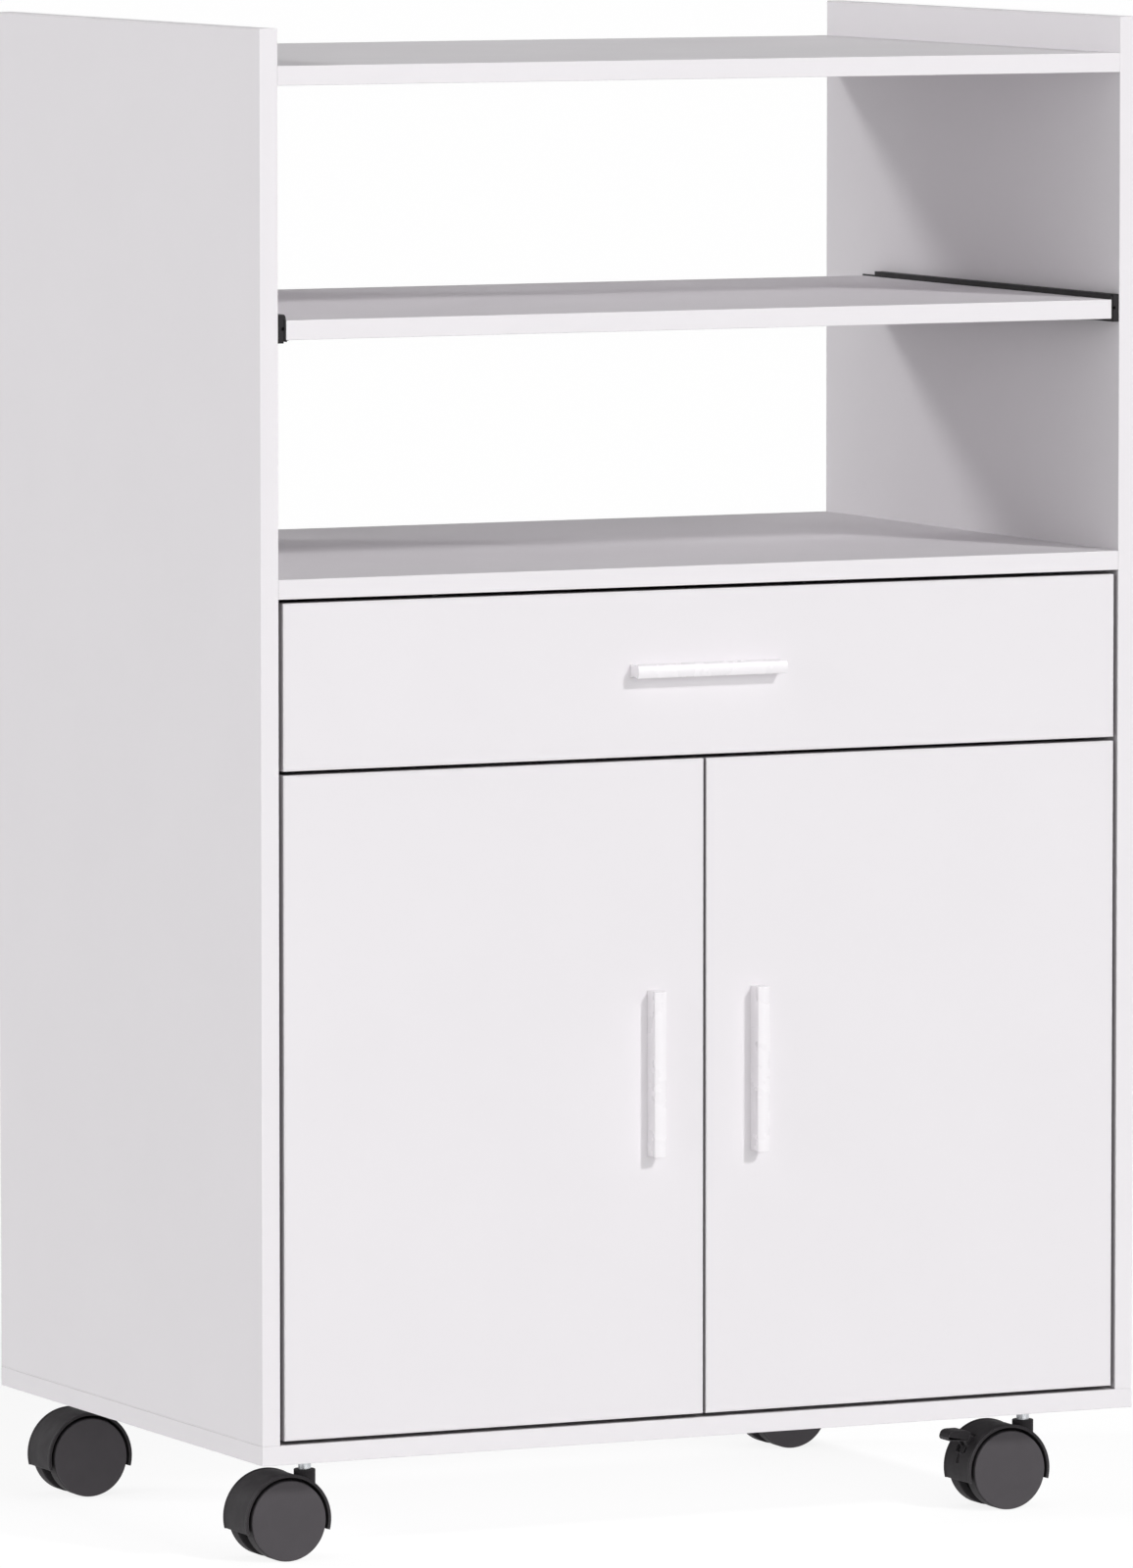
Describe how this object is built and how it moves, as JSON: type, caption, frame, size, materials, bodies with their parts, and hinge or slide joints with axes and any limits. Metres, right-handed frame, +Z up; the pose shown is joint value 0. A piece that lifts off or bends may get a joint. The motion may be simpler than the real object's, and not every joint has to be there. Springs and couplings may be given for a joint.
{
  "type": "microwave cart",
  "caption": "White board microwave cart on swivel casters, with a proud-sided top, a slide-out shelf between two open bays, a drawer and a double-door cabinet.",
  "frame": {"origin": "on the floor, under the middle of the cart's width and of its depth with handles", "axes": "+X to the right seen from the front, +Y to the back, +Z up; the doors face -Y"},
  "size_m": [0.6, 0.414, 0.938],
  "materials": {
    "board": "satin white melamine facing",
    "thin_board": "satin white facing on hardboard",
    "handle_plastic": "semi-gloss white",
    "rail_steel": "black powder coat",
    "glide_nylon": "moulded black nylon",
    "hood_nylon": "moulded black nylon",
    "wheel_nylon": "moulded dark grey nylon",
    "zinc_steel": "zinc plated",
    "zinc_alloy": "die cast, matte",
    "dowel_wood": "plain beech"
  },
  "bodies": {
    "carcass": {"side_panel_left": "board", "side_panel_right": "board", "top_shelf": "board", "fixed_shelf": "board", "bottom_panel": "board", "back_panel": "thin_board", "cam_bolts": "zinc_steel", "cam_locks": "zinc_alloy", "wood_dowels": "dowel_wood", "base_screws": "zinc_steel", "hardware_screws": "zinc_steel", "cabinet_rails": "rail_steel", "cabinet_glides": "glide_nylon", "hinge_arms_left": "zinc_steel", "hinge_arms_right": "zinc_steel", "caster_stems": "zinc_steel", "stem_sleeves": "zinc_steel"},
    "sliding_shelf": {"slide_shelf": "board", "shelf_rails": "rail_steel", "shelf_glides": "glide_nylon", "shelf_screws": "zinc_steel"},
    "drawer": {"drawer_front": "board", "drawer_side_left": "board", "drawer_side_right": "board", "drawer_back": "board", "drawer_bottom": "thin_board", "drawer_cams": "zinc_alloy", "drawer_screws": "zinc_steel", "drawer_rails": "rail_steel", "drawer_glides": "glide_nylon", "drawer_handle": "handle_plastic", "drawer_handle_screws": "zinc_steel"},
    "left_door": {"door_left": "board", "door_handle_left": "handle_plastic", "door_handle_screws_left": "zinc_steel", "hinge_cups_left": "zinc_steel", "hinge_pins_left": "zinc_steel"},
    "right_door": {"door_right": "board", "door_handle_right": "handle_plastic", "door_handle_screws_right": "zinc_steel", "hinge_cups_right": "zinc_steel", "hinge_pins_right": "zinc_steel"},
    "front_left_caster": {"hood_front_left": "hood_nylon", "axle_front_left": "zinc_steel"},
    "front_left_wheel_a": {"wheel_front_left_a": "wheel_nylon"},
    "front_left_wheel_b": {"wheel_front_left_b": "wheel_nylon"},
    "front_right_caster": {"hood_front_right": "hood_nylon", "axle_front_right": "zinc_steel"},
    "front_right_wheel_a": {"wheel_front_right_a": "wheel_nylon"},
    "front_right_wheel_b": {"wheel_front_right_b": "wheel_nylon"},
    "back_left_caster": {"hood_back_left": "hood_nylon", "axle_back_left": "zinc_steel"},
    "back_left_wheel_a": {"wheel_back_left_a": "wheel_nylon"},
    "back_left_wheel_b": {"wheel_back_left_b": "wheel_nylon"},
    "back_right_caster": {"hood_back_right": "hood_nylon", "axle_back_right": "zinc_steel"},
    "back_right_wheel_a": {"wheel_back_right_a": "wheel_nylon"},
    "back_right_wheel_b": {"wheel_back_right_b": "wheel_nylon"},
    "front_right_brake": {"brake_front_right": "hood_nylon"},
    "back_right_brake": {"brake_back_right": "hood_nylon"}
  },
  "joints": [
    {"name": "shelf_slide", "type": "slide", "parent": "carcass", "child": "sliding_shelf", "axis": [0, -1, 0], "range_m": [0, 0.241]},
    {"name": "drawer_slide", "type": "slide", "parent": "carcass", "child": "drawer", "axis": [0, -1, 0], "range_m": [0, 0.241]},
    {"name": "left_door_hinge", "type": "hinge", "parent": "carcass", "child": "left_door", "pos_m": [-0.273, -0.189, 0.28275], "axis": [0, 0, -1], "range_deg": [0, 90]},
    {"name": "right_door_hinge", "type": "hinge", "parent": "carcass", "child": "right_door", "pos_m": [0.273, -0.189, 0.28275], "axis": [0, 0, 1], "range_deg": [0, 90]},
    {"name": "front_left_swivel", "type": "hinge", "parent": "carcass", "child": "front_left_caster", "pos_m": [-0.249, -0.145, 0.045], "axis": [0, 0, 1], "continuous": true},
    {"name": "front_left_wheel_a_spin", "type": "hinge", "parent": "front_left_caster", "child": "front_left_wheel_a", "pos_m": [-0.2675, -0.145, 0.025], "axis": [0, 1, 0], "continuous": true},
    {"name": "front_left_wheel_b_spin", "type": "hinge", "parent": "front_left_caster", "child": "front_left_wheel_b", "pos_m": [-0.2675, -0.145, 0.025], "axis": [0, 1, 0], "continuous": true},
    {"name": "front_right_swivel", "type": "hinge", "parent": "carcass", "child": "front_right_caster", "pos_m": [0.249, -0.145, 0.045], "axis": [0, 0, 1], "continuous": true},
    {"name": "front_right_wheel_a_spin", "type": "hinge", "parent": "front_right_caster", "child": "front_right_wheel_a", "pos_m": [0.2305, -0.145, 0.025], "axis": [0, 1, 0], "continuous": true},
    {"name": "front_right_wheel_b_spin", "type": "hinge", "parent": "front_right_caster", "child": "front_right_wheel_b", "pos_m": [0.2305, -0.145, 0.025], "axis": [0, 1, 0], "continuous": true},
    {"name": "back_left_swivel", "type": "hinge", "parent": "carcass", "child": "back_left_caster", "pos_m": [-0.249, 0.157, 0.045], "axis": [0, 0, 1], "continuous": true},
    {"name": "back_left_wheel_a_spin", "type": "hinge", "parent": "back_left_caster", "child": "back_left_wheel_a", "pos_m": [-0.2675, 0.157, 0.025], "axis": [0, 1, 0], "continuous": true},
    {"name": "back_left_wheel_b_spin", "type": "hinge", "parent": "back_left_caster", "child": "back_left_wheel_b", "pos_m": [-0.2675, 0.157, 0.025], "axis": [0, 1, 0], "continuous": true},
    {"name": "back_right_swivel", "type": "hinge", "parent": "carcass", "child": "back_right_caster", "pos_m": [0.249, 0.157, 0.045], "axis": [0, 0, 1], "continuous": true},
    {"name": "back_right_wheel_a_spin", "type": "hinge", "parent": "back_right_caster", "child": "back_right_wheel_a", "pos_m": [0.2305, 0.157, 0.025], "axis": [0, 1, 0], "continuous": true},
    {"name": "back_right_wheel_b_spin", "type": "hinge", "parent": "back_right_caster", "child": "back_right_wheel_b", "pos_m": [0.2305, 0.157, 0.025], "axis": [0, 1, 0], "continuous": true},
    {"name": "front_right_brake_tip", "type": "hinge", "parent": "front_right_caster", "child": "front_right_brake", "pos_m": [0.2185, -0.145, 0.038], "axis": [0, -1, 0], "range_deg": [0, 14]},
    {"name": "back_right_brake_tip", "type": "hinge", "parent": "back_right_caster", "child": "back_right_brake", "pos_m": [0.2185, 0.157, 0.038], "axis": [0, -1, 0], "range_deg": [0, 14]}
  ]
}
